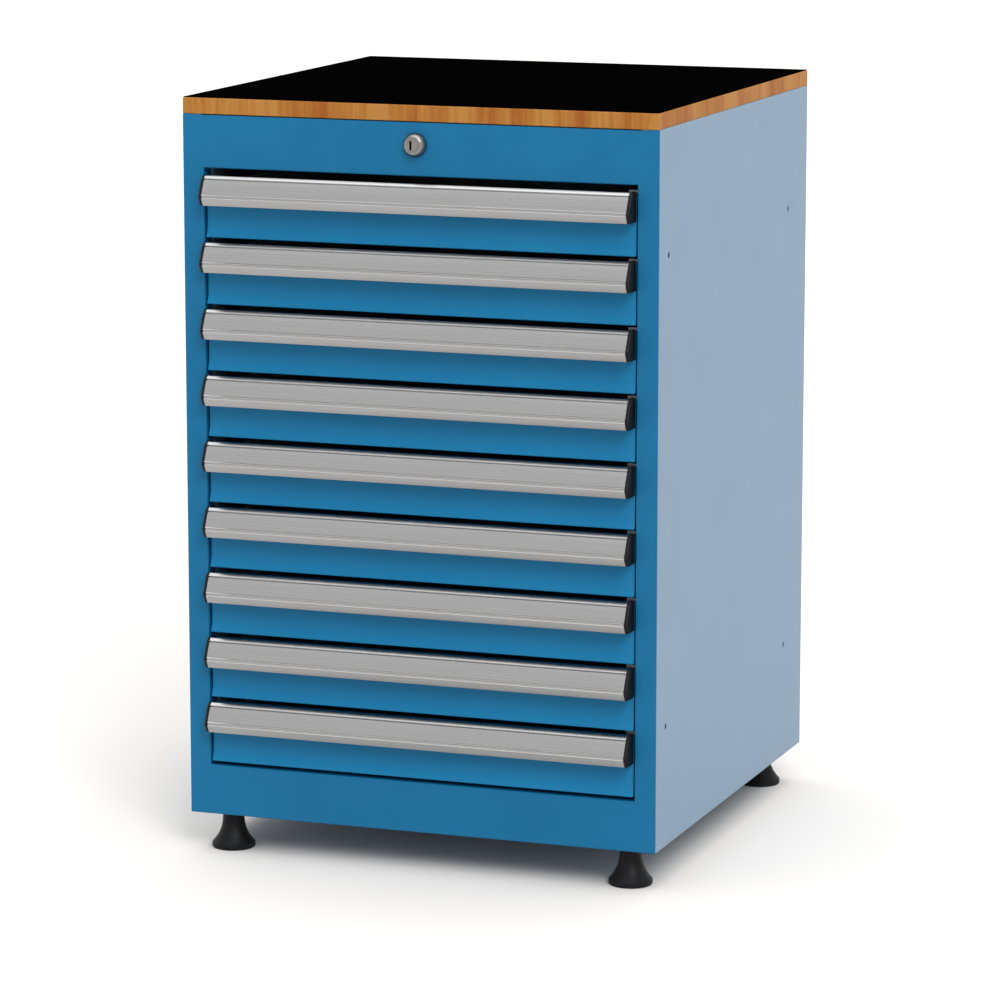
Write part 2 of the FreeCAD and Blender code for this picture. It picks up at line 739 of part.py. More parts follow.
# Tray: bottom and four walls with divider slots, a folded rim, the drawer's slide members, the catch lug
def tray(number):
    name = f"tray_{number}"
    body = newBody(name)
    floor = onPlane(body, name + "_floor", "XY_Plane", "trayRise")
    back = "frontRear + trayDepth"
    rectangle(floor, "-trayHalf", "frontRear", "trayHalf", back)
    pad(body, name + "_block", floor, "trayTop - trayRise")

    inside = onPlane(body, name + "_inside", "XY_Plane", "trayTop")
    side = "trayHalf - traySheet"
    rectangle(inside, f"-({side})", "frontRear + traySheet", side, f"{back} - traySheet")
    pocket(body, name + "_hollow", inside, "trayTop - trayRise - traySheet")

    rim = onPlane(body, name + "_rim", "XY_Plane", "trayTop - traySheet")
    rectangle(rim, "-trayHalf", "frontRear", "trayHalf", back)
    edge = "traySheet + trayRim"
    rectangle(rim, f"{edge} - trayHalf", f"frontRear + {edge}", f"trayHalf - ({edge})", f"{back} - ({edge})")
    pad(body, name + "_fold", rim, "traySheet")

    slotRows(body, name)

    rail = railBody(name + "_rail", 2, False)[0]
    lug = box(name + "_lug", "trayHalf", "barFront + barThickness + lugGap", "lugBottom",
              "slideThickness - lugSideClear", "lugThickness", "lugHeight")
    pieces = [body, rail, mirrored(name + "_rail_left", rail), lug]
    node(group(name + "_pieces", pieces), f"drawer_{number}_tray", Y="frontPlane", Z=drawerBottom(number))


# Slots in the side walls and in the front and back walls, cut straight through both
def slotRows(body, name):
    low = "trayRise + slotRise"
    sides = onPlane(body, name + "_side_slot", "YZ_Plane")
    first = "frontRear + slotPitch / 2"
    rectangle(sides, first, low, f"{first} + slotWidth", f"{low} + slotHeight")
    sideSlot = pocket(body, name + "_side_cut", sides, "2 * trayHalf", symmetric=True)
    count = int(valueOf("(trayDepth - slotPitch) / slotPitch")) + 1
    pattern(body, name + "_side_cuts", sideSlot, sides, "H_Axis", "slotPitch", count)

    ends = onPlane(body, name + "_end_slot", "XZ_Plane", "-(frontRear + trayDepth / 2)")
    halfCount = int(valueOf("(trayHalf - slotPitch / 2) / slotPitch"))
    start = f"-{halfCount} * slotPitch"
    rectangle(ends, f"{start} - slotWidth / 2", low, f"{start} + slotWidth / 2", f"{low} + slotHeight")
    endSlot = pocket(body, name + "_end_cut", ends, "trayDepth", symmetric=True)
    pattern(body, name + "_end_cuts", endSlot, ends, "H_Axis", "slotPitch", 2 * halfCount + 1)


# Middle members of one drawer's slides, which go out half as far as the drawer
def midRails(number):
    name = f"mid_rail_{number}"
    body = railBody(name, 1, True)[0]
    pair = group(name + "_pair", [body, mirrored(name + "_left", body)])
    node(pair, f"drawer_{number}_mid_rails", Y="frontPlane", Z=drawerBottom(number))


frontFrame()
sidePanel("side_panel_left", False)
sidePanel("side_panel_right", True)
backPanel()
basePlate()
worktop()
cabinetRails()
lock()
lockingBar()
for spot in footSpots:
    foot(spot)
for number in range(1, drawerCount + 1):
    tray(number)
    drawerFront(number)
    handle(number)
    endCaps(number)
    midRails(number)

doc.recompute()

failed = [item.Name for item in doc.Objects if {"Invalid", "Error"} & set(item.State)]
if failed:
    raise SystemExit("failed: " + ", ".join(failed))

# A pocket that misses its solid changes nothing, so each one must take material away
for item in doc.Objects:
    if item.TypeId == "PartDesign::Pocket" and item.Shape.Volume > item.BaseFeature.Shape.Volume - 0.01:
        raise SystemExit(f"{item.Name} cuts nothing")

for item in nodes:
    if item.Shape.isNull() or not item.Shape.isValid():
        raise SystemExit(f"{item.Label} has no valid shape")

os.makedirs("parts", exist_ok=True)
for item in nodes:
    item.Shape.exportStep(os.path.join("parts", item.Label + ".step"))
    print(item.Label, len(item.Shape.Solids), "solids", round(item.Shape.Volume), "mm3")
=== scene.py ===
import math

import bmesh
import bpy
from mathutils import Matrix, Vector


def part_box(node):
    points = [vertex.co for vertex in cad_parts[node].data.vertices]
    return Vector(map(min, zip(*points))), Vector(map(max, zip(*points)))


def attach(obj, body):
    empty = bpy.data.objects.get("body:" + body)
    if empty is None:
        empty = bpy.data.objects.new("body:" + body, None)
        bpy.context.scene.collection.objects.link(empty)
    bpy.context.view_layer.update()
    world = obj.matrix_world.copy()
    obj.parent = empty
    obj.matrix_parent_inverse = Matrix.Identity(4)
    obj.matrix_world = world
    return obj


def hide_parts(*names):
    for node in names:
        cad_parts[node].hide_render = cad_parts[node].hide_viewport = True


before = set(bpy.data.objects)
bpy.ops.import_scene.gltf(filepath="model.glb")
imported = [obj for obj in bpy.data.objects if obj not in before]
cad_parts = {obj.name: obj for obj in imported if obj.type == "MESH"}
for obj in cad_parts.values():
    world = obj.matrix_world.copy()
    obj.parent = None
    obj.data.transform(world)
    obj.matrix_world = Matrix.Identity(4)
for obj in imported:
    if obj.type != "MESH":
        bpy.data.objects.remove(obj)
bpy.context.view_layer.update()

mm = 0.001
drawerNumbers = range(1, 10)
print("frame loaded")


# colours and nodes

def toLinear(hexCode):
    channels = [int(hexCode[i:i + 2], 16) / 255 for i in (1, 3, 5)]
    linear = [c / 12.92 if c <= 0.04045 else ((c + 0.055) / 1.055) ** 2.4 for c in channels]
    return (*linear, 1)


def addNode(tree, kind, settings=None, links=None):
    node = tree.nodes.new(kind)
    for name, value in (settings or {}).items():
        if isinstance(name, int) or name in node.inputs:
            node.inputs[name].default_value = value
        else:
            setattr(node, name, value)
    for name, source in (links or {}).items():
        tree.links.new(source, node.inputs[name])
    return node


def perMetre(size):
    return 1000 / size  # texture scale for a pattern of that size in mm


def newMaterial(name, settings):
    material = bpy.data.materials.new(name)
    material.use_nodes = True
    tree = material.node_tree
    surface = tree.nodes["Principled BSDF"]
    for socket, value in settings.items():
        surface.inputs[socket].default_value = value
    return material, tree, surface


def noise(tree, size, detail=2, stretch=(1, 1, 1)):
    # noise of that size in mm, drawn out along an axis where stretch is over 1
    place = addNode(tree, "ShaderNodeTexCoord").outputs["Object"]
    scale = [perMetre(size) / s for s in stretch]
    mapped = addNode(tree, "ShaderNodeMapping", {"Scale": scale}, {"Vector": place}).outputs[0]
    settings = {"Scale": 1, "Detail": detail}
    return addNode(tree, "ShaderNodeTexNoise", settings, {"Vector": mapped}).outputs["Fac"]


def ramp(tree, source, stops):
    node = addNode(tree, "ShaderNodeValToRGB", links={"Fac": source})
    elements = node.color_ramp.elements
    while len(elements) < len(stops):
        elements.new(0.5)
    for element, (position, colour) in zip(elements, stops):
        element.position = position
        element.color = toLinear(colour)
    return node.outputs["Color"]


def spread(tree, source, low, high):
    node = addNode(tree, "ShaderNodeMapRange", {"To Min": low, "To Max": high}, {"Value": source})
    return node.outputs["Result"]


def bump(tree, surface, source, depth):
    # depth in mm of the relief that a pattern from 0 to 1 makes
    settings = {"Strength": 1, "Distance": depth * mm}
    raised = addNode(tree, "ShaderNodeBump", settings, {"Height": source})
    tree.links.new(raised.outputs["Normal"], surface.inputs["Normal"])


# finishes

def powderCoat(name, dark, light, roughness, gloss):
    # polyester powder coat on sheet steel, baked: an even satin colour with a faint orange peel
    material, tree, surface = newMaterial(name, {"IOR": 1.5, "Specular IOR Level": gloss})
    cloud = noise(tree, 90, 3)
    tree.links.new(ramp(tree, cloud, [(0.3, dark), (0.7, light)]), surface.inputs["Base Color"])
    peel = noise(tree, 3.2, 2)
    tree.links.new(spread(tree, peel, roughness - 0.04, roughness + 0.04), surface.inputs["Roughness"])
    bump(tree, surface, peel, 0.012)
    return material


def anodisedAluminium():
    # extruded and satin anodised: a soft grey metal with fine drawing lines along the strip
    material, tree, surface = newMaterial("anodised_aluminium", {"Metallic": 1.0})
    lines = noise(tree, 0.9, 4, (160, 1, 1))
    tone = ramp(tree, lines, [(0.3, "#A0A0A0"), (0.7, "#A6A6A6")])
    tree.links.new(tone, surface.inputs["Base Color"])
    tree.links.new(spread(tree, lines, 0.24, 0.32), surface.inputs["Roughness"])
    bump(tree, surface, lines, 0.004)
    return material


def mouldedPolyamide():
    # injection moulded black polyamide: near black, with a spark eroded grain that softens the light
    material, tree, surface = newMaterial("moulded_polyamide", {"IOR": 1.53, "Specular IOR Level": 0.14})
    grain = noise(tree, 1.1, 3)
    tree.links.new(ramp(tree, grain, [(0.3, "#101012"), (0.7, "#161618")]), surface.inputs["Base Color"])
    tree.links.new(spread(tree, grain, 0.42, 0.56), surface.inputs["Roughness"])
    bump(tree, surface, grain, 0.02)
    return material


def zincPlated():
    # cold rolled steel, bright zinc plated: a bluish metal with cloudy patches
    material, tree, surface = newMaterial("zinc_plated_steel", {"Metallic": 1.0})
    cloud = noise(tree, 14, 4)
    tree.links.new(ramp(tree, cloud, [(0.3, "#9CA0A5"), (0.7, "#B4B7BA")]), surface.inputs["Base Color"])
    tree.links.new(spread(tree, cloud, 0.28, 0.44), surface.inputs["Roughness"])
    bump(tree, surface, noise(tree, 1.2, 2, (12, 12, 1)), 0.008)
    return material


def satinNickel(name, tone, roughness):
    # zinc die casting, tumbled and satin nickel plated: a smooth warm grey metal
    material, tree, surface = newMaterial(name, {"Metallic": 1.0})
    rub = noise(tree, 1.5, 3)
    tree.links.new(ramp(tree, rub, [(0.3, tone), (0.7, "#8E8D8B")]), surface.inputs["Base Color"])
    tree.links.new(spread(tree, rub, roughness - 0.05, roughness + 0.05), surface.inputs["Roughness"])
    return material


def oiledHardwood():
    # solid hardwood staves, planed and oiled: upright stripes of honey and reddish brown on each edge
    material, tree, surface = newMaterial("oiled_hardwood", {"IOR": 1.45, "Specular IOR Level": 0.2})
    tall = (1, 1, 14)
    broad = noise(tree, 34, 2, tall)
    fibre = noise(tree, 5.5, 5, tall)
    pores = noise(tree, 1.3, 3, tall)
    stripes = broad
    for pattern, share in ((fibre, 0.55), (pores, 0.22)):
        settings = {"operation": "MULTIPLY_ADD", 1: share}
        stripes = addNode(tree, "ShaderNodeMath", settings, {0: pattern, 2: stripes}).outputs[0]
    tone = ramp(tree, stripes, [(0.70, "#98561F"), (0.82, "#A36629"), (0.92, "#AA7031"), (1.0, "#B27B3C")])
    tree.links.new(tone, surface.inputs["Base Color"])
    tree.links.new(spread(tree, fibre, 0.5, 0.65), surface.inputs["Roughness"])
    bump(tree, surface, pores, 0.02)
    return material


def blackLaminate():
    # high pressure laminate, pressed super matt: black from every side, hardly a reflection on it
    material, tree, surface = newMaterial("black_laminate", {"Specular IOR Level": 0.0})
    grain = noise(tree, 1.6, 3)
    tree.links.new(ramp(tree, grain, [(0.3, "#010101"), (0.7, "#040404")]), surface.inputs["Base Color"])
    tree.links.new(spread(tree, grain, 0.6, 0.75), surface.inputs["Roughness"])
    bump(tree, surface, grain, 0.01)
    return material


finishes = {
    "blue_enamel": powderCoat("blue_powder_coat", "#0C6793", "#106B97", 0.42, 0.2),
    "pale_enamel": powderCoat("pale_powder_coat", "#7F97AD", "#829AB0", 0.46, 0.25),
    "tray_enamel": powderCoat("grey_powder_coat", "#AEB2B4", "#B4B8BA", 0.44, 0.4),
    "aluminium": anodisedAluminium(),
    "black_plastic": mouldedPolyamide(),
    "zinc_steel": zincPlated(),
    "nickel": satinNickel("satin_nickel", "#7C7B79", 0.3),
    "wood": oiledHardwood(),
    "laminate": blackLaminate(),
    # painted shade: a dark copy of the nickel for the key slot's walls and floor, standing in for the shade
    # inside the slot
    "keyway": satinNickel("keyway_painted_shade", "#3A3834", 0.5),
    # painted light: the drawer fronts get a copy of the frame's blue a little lighter than it, to make up for
    # the light that the handle above takes from a front
    "drawer_front": powderCoat("blue_powder_coat_fronts_painted_light", "#0E74A4", "#1278A8", 0.42, 0.2),
}
print("finishes made:", len(finishes))


# pieces

def addPiece(name, mesh, body, replaced, place=(0, 0, 0), bevel=None):
    piece = bpy.data.objects.new(name, mesh)
    bpy.context.scene.collection.objects.link(piece)
    piece.location = place
    if bevel:
        rounding = piece.modifiers.new("rounding", "BEVEL")
        rounding.width = bevel
        rounding.segments = 3
        rounding.limit_method = "WEIGHT"
        rounding.use_clamp_overlap = False
        rounding.harden_normals = True
        rounding.miter_outer = "MITER_ARC"
    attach(piece, body)
    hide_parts(*replaced)
    return piece


def finishMesh(mesh, slotName, smoothAngle=35):
    mesh.materials.clear()
    mesh.materials.append(finishes[slotName])
    mesh.polygons.foreach_set("use_smooth", [True] * len(mesh.polygons))
    mesh.set_sharp_from_angle(angle=math.radians(smoothAngle))
    mesh.update()
    return mesh


def roundedMesh(nodeName, slotName, edgeRadius, largest, seams=()):
    # the node's own shape with a rounding on each corner; edgeRadius gives it for a corner's middle, in mm;
    # seams are the (axis, place) of cuts through the holes, so that no flat face runs right round one
    shape = bmesh.new()
    shape.from_mesh(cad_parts[nodeName].data)
    bmesh.ops.remove_doubles(shape, verts=shape.verts, dist=0.002 * mm)
    for axis, place in seams:
        normal = Vector([float(axis == number) for number in range(3)])
        everything = shape.verts[:] + shape.edges[:] + shape.faces[:]
        cut = bmesh.ops.bisect_plane(shape, geom=everything, plane_co=normal * place * mm, plane_no=normal,
                                     dist=0.001 * mm)
        for edge in cut["geom_cut"]:
            if isinstance(edge, bmesh.types.BMEdge):
                edge.seam = True
    flat = math.radians(0.3)
    bmesh.ops.dissolve_limit(shape, angle_limit=flat, verts=shape.verts, edges=shape.edges, delimit={"SEAM"})
    weight = shape.edges.layers.float.new("bevel_weight_edge")
    cornerAngle = math.radians(24)
    for edge in shape.edges:
        edge.seam = False
        if len(edge.link_faces) == 2 and edge.calc_face_angle(0) > cornerAngle:
            middle = (edge.verts[0].co + edge.verts[1].co) / 2
            edge[weight] = edgeRadius(middle / mm) / largest
    mesh = bpy.data.meshes.new(nodeName + "_rounded")
    shape.to_mesh(mesh)
    shape.free()
    return finishMesh(mesh, slotName)


def corners(nodeName):
    low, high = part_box(nodeName)
    return low / mm, high / mm


def near(value, target, tolerance=0.05):
    return abs(value - target) < tolerance


# front frame: folded sheet, its bends round the drawers' opening and along the top and bottom edges
frameLook = {"bend": 1.6, "arris": 0.35}
xAxis, yAxis, zAxis = range(3)


def frontFrame():
    low, high = corners("front_frame")

    def radius(middle):
        onFace = near(middle.y, low.y)
        atSide = near(abs(middle.x), high.x)
        return frameLook["bend"] if onFace and not atSide else frameLook["arris"]

    lockMiddle = sum(corners("lock_housing"), Vector()) / 2
    seams = [(xAxis, lockMiddle.x), (zAxis, lockMiddle.z), (zAxis, (low.z + high.z) / 2)]
    mesh = roundedMesh("front_frame", "blue_enamel", radius, frameLook["bend"], seams)
    addPiece("frontFrame", mesh, "cabinet", ["front_frame"], bevel=frameLook["bend"] * mm)


# side panels: pans with their bends on the four outer edges
sideLook = {"bend": 1.0, "arris": 0.3, "boltRows": (34.9, 495.5), "boltLevels": (138.2, 668.4)}


def sidePanels():
    for side in ("left", "right"):
        node = f"side_panel_{side}"
        low, high = corners(node)
        outer = low.x if side == "left" else high.x

        def radius(middle):
            return sideLook["bend"] if near(middle.x, outer) else sideLook["arris"]

        seams = [(yAxis, low.y + row) for row in sideLook["boltRows"]]
        seams += [(zAxis, low.z + level) for level in sideLook["boltLevels"]]
        mesh = roundedMesh(node, "pale_enamel", radius, sideLook["bend"], seams)
        addPiece(f"sidePanel_{side}", mesh, "cabinet", [node], bevel=sideLook["bend"] * mm)


# sheets and rails that only need their cut edges broken
plainLook = {
    "back_panel": {"slot": "pale_enamel", "arris": 0.4, "seams": []},
    "base_plate": {"slot": "pale_enamel", "arris": 0.3,
                   "seams": [(xAxis, -242.7), (xAxis, 242.7), (yAxis, -243), (yAxis, 257)]},
    "cabinet_rails": {"slot": "zinc_steel", "arris": 0.25, "seams": []},
    "locking_bar": {"slot": "zinc_steel", "arris": 0.4, "seams": [(zAxis, 828)]},
}


def plainPieces():
    for node, look in plainLook.items():
        body = "locking_bar" if node == "locking_bar" else "cabinet"
        radius = look["arris"]
        mesh = roundedMesh(node, look["slot"], lambda middle: radius, radius, look["seams"])
        addPiece(node + "_piece", mesh, body, [node], bevel=radius * mm)


# worktop: the board's arris catches the light, the laminate stops just short of it
worktopLook = {"arris": 0.9, "laminateInset": 0.9, "laminateArris": 0.3}


def worktop():
    mesh = roundedMesh("worktop_board", "wood", lambda middle: worktopLook["arris"], worktopLook["arris"])
    addPiece("worktopBoard", mesh, "cabinet", ["worktop_board"], bevel=worktopLook["arris"] * mm)
    radius = worktopLook["laminateArris"]
    mesh = roundedMesh("worktop_laminate", "laminate", lambda middle: radius, radius)
    low, high = corners("worktop_laminate")
    centre = (low + high) / 2
    for vertex in mesh.vertices:
        for axis in (0, 1):
            toward = math.copysign(worktopLook["laminateInset"] * mm, centre[axis] - vertex.co[axis] / mm)
            vertex.co[axis] += toward
    addPiece("worktopLaminate", mesh, "cabinet", ["worktop_laminate"], bevel=radius * mm)


def revolved(name, outline, slotName, steps=96):
    # a turned shape round the Z axis; outline is (radius, height) in mm from one end to the other
    shape = bmesh.new()
    points = [shape.verts.new((radius * mm, 0, height * mm)) for radius, height in outline]
    edges = [shape.edges.new(pair) for pair in zip(points, points[1:])]
    bmesh.ops.spin(shape, geom=points + edges, cent=(0, 0, 0), axis=(0, 0, 1),
                   angle=2 * math.pi, steps=steps, use_merge=True)
    bmesh.ops.remove_doubles(shape, verts=shape.verts, dist=0.001 * mm)
    bmesh.ops.recalc_face_normals(shape, faces=shape.faces)
    mesh = bpy.data.meshes.new(name)
    shape.to_mesh(mesh)
    shape.free()
    return finishMesh(mesh, slotName)


def arc(centre, radius, start, end, count):
    # points on a circle, angles in degrees
    angles = [math.radians(start + (end - start) * step / count) for step in range(count + 1)]
    return [(centre[0] + radius * math.cos(a), centre[1] + radius * math.sin(a)) for a in angles]


def roundedOutline(places, steps=5):
    # places are (u, v, radius) in mm round the outline; each one becomes an arc of that radius
    outline = []
    for number, (u, v, radius) in enumerate(places):
        here = Vector((u, v))
        before = (Vector(places[number - 1][:2]) - here).normalized()
        after = (Vector(places[(number + 1) % len(places)][:2]) - here).normalized()
        opening = before.angle(after)
        if radius == 0 or opening > math.radians(179):
            outline.append(here)
            continue
        back = radius / math.tan(opening / 2)
        centre = here + (before + after).normalized() * radius / math.sin(opening / 2)
        start = here + before * back - centre
        turn = math.pi - opening
        if before.x * after.y - before.y * after.x > 0:
            turn = -turn
        for step in range(steps + 1):
            angle = turn * step / steps
            outline.append(centre + Vector((start.x * math.cos(angle) - start.y * math.sin(angle),
                                            start.x * math.sin(angle) + start.y * math.cos(angle))))
    return outline


def drawnIn(outline, distance):
    # the outline moved inward by that distance
    moved = []
    area = sum(a.x * b.y - b.x * a.y for a, b in zip(outline, outline[1:] + outline[:1]))
    side = math.copysign(1, area)
    for number, here in enumerate(outline):
        before = (here - outline[number - 1]).normalized()
        after = (outline[(number + 1) % len(outline)] - here).normalized()
        normals = [Vector((-line.y, line.x)) * side for line in (before, after)]
        middle = (normals[0] + normals[1]).normalized()
        moved.append(here + middle * distance / max(middle.dot(normals[0]), 0.3))
    return moved


def bars(name, slotName, outline, lengths, smoothAngle=35):
    # bars along X with that (y, z) section; each length is a row of (x, how far the outline is drawn in)
    shape = bmesh.new()
    for stations in lengths:
        rings = []
        for x, distance in stations:
            ring = [shape.verts.new((x * mm, y * mm, z * mm)) for y, z in drawnIn(outline, distance)]
            rings.append(ring)
        for first, second in zip(rings, rings[1:]):
            for number in range(len(outline)):
                following = (number + 1) % len(outline)
                shape.faces.new((first[number], first[following], second[following], second[number]))
        shape.faces.new(rings[0])
        shape.faces.new(rings[-1])
    bmesh.ops.recalc_face_normals(shape, faces=shape.faces)
    mesh = bpy.data.meshes.new(name)
    shape.to_mesh(mesh)
    shape.free()
    return finishMesh(mesh, slotName, smoothAngle)


def roundedEnd(x, radius, outward, steps=4):
    # stations that round the end of a bar at x, from its side to its end face
    stations = []
    for step in range(steps + 1):
        turn = math.radians(90 * step / steps)
        stations.append((x - outward * radius * (1 - math.sin(turn)), radius * (1 - math.cos(turn))))
    return stations


# levelling feet: a bell with a rounded rim and a concave flare, and the threaded stud
footLook = {
    "rim": 6.0, "rimRound": 2.0, "stem": 12.5, "flareTop": 36.0, "stemRound": 0.8, "stemGap": 0.3,
    "stud": 5.0, "thread": 1.5, "threadDepth": 0.6, "threadCrest": 0.2,
}


def foot(spot):
    node = f"foot_{spot}"
    low, high = corners(node)
    radius = (high.x - low.x) / 2
    stemTop = corners("base_plate")[0].z - footLook["stemGap"]
    run = radius - footLook["stem"]
    rise = footLook["flareTop"] - footLook["rim"]
    flareRadius = (run * run + rise * rise) / (2 * run)
    flareTurn = math.degrees(math.asin(rise / flareRadius))
    outline = [(0, 0)]
    rimRound = footLook["rimRound"]
    outline += arc((radius - rimRound, rimRound), rimRound, -90, 0, 8)
    flareCentre = (footLook["stem"] + flareRadius, footLook["flareTop"])
    outline += arc(flareCentre, flareRadius, 180 + flareTurn, 180, 24)
    roundTop = footLook["stemRound"]
    outline += arc((footLook["stem"] - roundTop, stemTop - roundTop), roundTop, 0, 90, 4)
    outline.append((footLook["stud"], stemTop))
    core = footLook["stud"] - footLook["threadDepth"]
    turns = int((high.z - stemTop - 1) / footLook["thread"])
    for turn in range(turns):
        start = stemTop + turn * footLook["thread"]
        outline.append((footLook["stud"], start + footLook["threadCrest"]))
        outline.append((core, start + footLook["thread"] / 2))
    outline += [(core, high.z), (0, high.z)]
    mesh = revolved(node + "_turned", outline, "black_plastic")
    centre = (low + high) / 2
    addPiece(f"footBell_{spot}", mesh, node, [node], (centre.x * mm, centre.y * mm, 0))


# lock: a domed rosette with its barrel, and the plug with the key slot
lockLook = {
    "face": 9.2, "bore": 6.55, "rim": 13.8, "rimReach": 1.7, "groove": 0.2, "domePower": 1.3, "domeSteps": 12,
    "barrel": 9.0, "barrelEnd": -17, "plugArris": 0.25,
    "slotShift": -2.3, "slotSide": 4, "slotRise": 5.4, "slotDepth": 12,
}


def lock():
    low, high = corners("lock_housing")
    plane = corners("front_frame")[0].y
    centre = (low + high) / 2
    reach = plane - low.y
    domeRun = lockLook["rim"] - lockLook["face"]
    domeRise = reach - lockLook["rimReach"]
    bore = lockLook["bore"]
    power = lockLook["domePower"]
    outline = [(bore, lockLook["barrelEnd"]), (bore, reach - lockLook["groove"])]
    outline += [(bore + lockLook["groove"], reach)]
    for step in range(lockLook["domeSteps"] + 1):
        turn = math.radians(90 * step / lockLook["domeSteps"])
        radius = lockLook["face"] + domeRun * math.sin(turn) ** power
        outline.append((radius, lockLook["rimReach"] + domeRise * math.cos(turn) ** power))
    outline += [(lockLook["rim"], 0), (lockLook["barrel"], 0)]
    outline += [(lockLook["barrel"], lockLook["barrelEnd"]), (bore, lockLook["barrelEnd"])]
    mesh = revolved("rosette_turned", outline, "nickel")
    piece = addPiece("lockRosette", mesh, "cabinet", ["lock_housing"])
    piece.rotation_euler = (math.pi / 2, 0, 0)
    piece.location = (centre.x * mm, plane * mm, centre.z * mm)

    arris = lockLook["plugArris"]
    seams = [(zAxis, centre.z), (xAxis, centre.x + lockLook["slotShift"])]
    mesh = roundedMesh("lock_plug", "nickel", lambda middle: arris, arris, seams)
    # painted shade: the key slot's walls and floor take the dark second finish, for the shade inside the slot
    mesh.materials.append(finishes["keyway"])
    slotDepth = lockLook["slotDepth"]
    for face in mesh.polygons:
        spot = face.center / mm
        besideAxis = abs(spot.x - centre.x) < lockLook["slotSide"]
        atSlotHeight = abs(spot.z - centre.z) < lockLook["slotRise"]
        inSlot = besideAxis and atSlotHeight and low.y - 0.3 < spot.y < low.y + slotDepth
        atSlotFloor = near(spot.y, low.y - 0.4 + slotDepth, 0.3)
        if inSlot and abs(face.normal.y) < 0.5 or atSlotFloor:
            face.material_index = 1
    addPiece("lockPlug", mesh, "lock_plug", ["lock_plug"], bevel=arris * mm)


# drawers: the nine have the same pieces, so each mesh is made once and put in nine places;
# y is measured from the frame's face and z from the lower edge of the drawer front

# a front is one sheet, folded back all round, its lower edge bent forward to a lip
frontLook = {
    "halfWidth": 255.0, "height": 71.344, "behindHandle": 3.2, "face": 4.0, "rear": 16.0,
    "lipHeight": 10.5, "lipReach": 0.0, "lipBend": 8.0,
    "fold": 1.2, "lipEdge": 1.0, "rearEdge": 0.4, "end": 0.8,
}


def drawerFrontMesh():
    look = frontLook
    top = look["height"] - look["behindHandle"]
    outline = roundedOutline([
        (look["rear"], top, look["rearEdge"]),
        (look["face"], top, look["fold"]),
        (look["face"], look["lipHeight"], look["lipBend"]),
        (look["lipReach"], 0, look["lipEdge"]),
        (look["rear"], 0, look["rearEdge"]),
    ])
    half = look["halfWidth"]
    stations = list(reversed(roundedEnd(-half, look["end"], -1))) + roundedEnd(half, look["end"], 1)
    mesh = bars("drawer_front", "blue_enamel", outline, [stations])
    # painted light: the fronts take the lighter copy of the blue, against the shade that the handles cast on
    # them
    mesh.materials[0] = finishes["drawer_front"]
    return mesh


# a handle is an extruded strip; points are (how far out, how far down, rounding)
handleLook = {
    "halfLength": 251.0, "crownSteps": 10, "roundSteps": 3, "smoothAngle": 25,
    "faceStart": (12.9, 4.5), "faceEnd": (20.9, 20.6), "faceCrown": 0.3,
    "top": [(-4.0, 2.4, 0.3), (9.0, 0.0, 0.7), (12.6, 3.0, 0.4), (12.2, 3.5, 0.1),
            (10.2, 3.5, 0.1), (10.4, 4.5, 0.1)],
    "bottom": [(21.9, 21.2, 0.4), (21.6, 22.2, 0.3), (21.1, 22.6, 0.2), (21.4, 24.4, 0.1),
               (22.0, 24.9, 0.4), (17.0, 33.5, 0.5), (15.0, 33.5, 0.3)],
    "inside": [(19.6, 25.0, 0.5), (19.2, 22.0, 0.5), (9.2, 5.6, 0.5), (7.6, 2.6, 0.5),
               (-2.0, 4.3, 0.5), (-2.0, 12.0, 0.3), (-4.0, 12.0, 0.3)],
}


def stripOutline(places, steps):
    top = frontLook["height"]
    return roundedOutline([(-reach, top - drop, radius) for reach, drop, radius in places], steps)


def crownedFace(look):
    # the broad face between the dark line and the ridge, a shallow arc
    start = Vector(look["faceStart"])
    end = Vector(look["faceEnd"])
    outward = Vector((end.y - start.y, start.x - end.x)).normalized()
    points = []
    for step in range(look["crownSteps"] + 1):
        share = step / look["crownSteps"]
        swell = 4 * share * (1 - share) * look["faceCrown"]
        points.append((*(start.lerp(end, share) + outward * swell), 0))
    return points


def handleMesh():
    look = handleLook
    places = look["top"] + crownedFace(look) + look["bottom"] + look["inside"]
    outline = stripOutline(places, look["roundSteps"])
    half = look["halfLength"]
    return bars("handle_strip", "aluminium", outline, [[(-half, 0), (half, 0)]], look["smoothAngle"])


# an end cap closes the strip's section; its outer edge is well rounded
capLook = {
    "thickness": 4.0, "edge": 1.5, "roundSteps": 4, "smoothAngle": 40,
    "top": [(-4.0, 0.0, 0.4), (8.8, 0.0, 1.2), (12.8, 3.4, 3.0)],
    "bottom": [(22.0, 22.0, 1.5), (22.0, 25.0, 3.0), (17.0, 33.5, 1.5), (-4.0, 33.5, 0.4)],
}


def capMesh():
    look = capLook
    places = look["top"] + crownedFace(handleLook)[2:-1] + look["bottom"]
    outline = stripOutline(places, look["roundSteps"])
    outer = frontLook["halfWidth"]
    inner = outer - look["thickness"]
    right = [(inner, 0)] + roundedEnd(outer, look["edge"], 1)
    left = [(-x, distance) for x, distance in right]
    return bars("end_caps", "black_plastic", outline, [right, left], look["smoothAngle"])


drawerLook = {
    "tray": {"slot": "tray_enamel", "arris": 0.3, "seams": [(xAxis, 25.5), (zAxis, 746.56)]},
    "mid_rails": {"slot": "zinc_steel", "arris": 0.25, "seams": []},
}


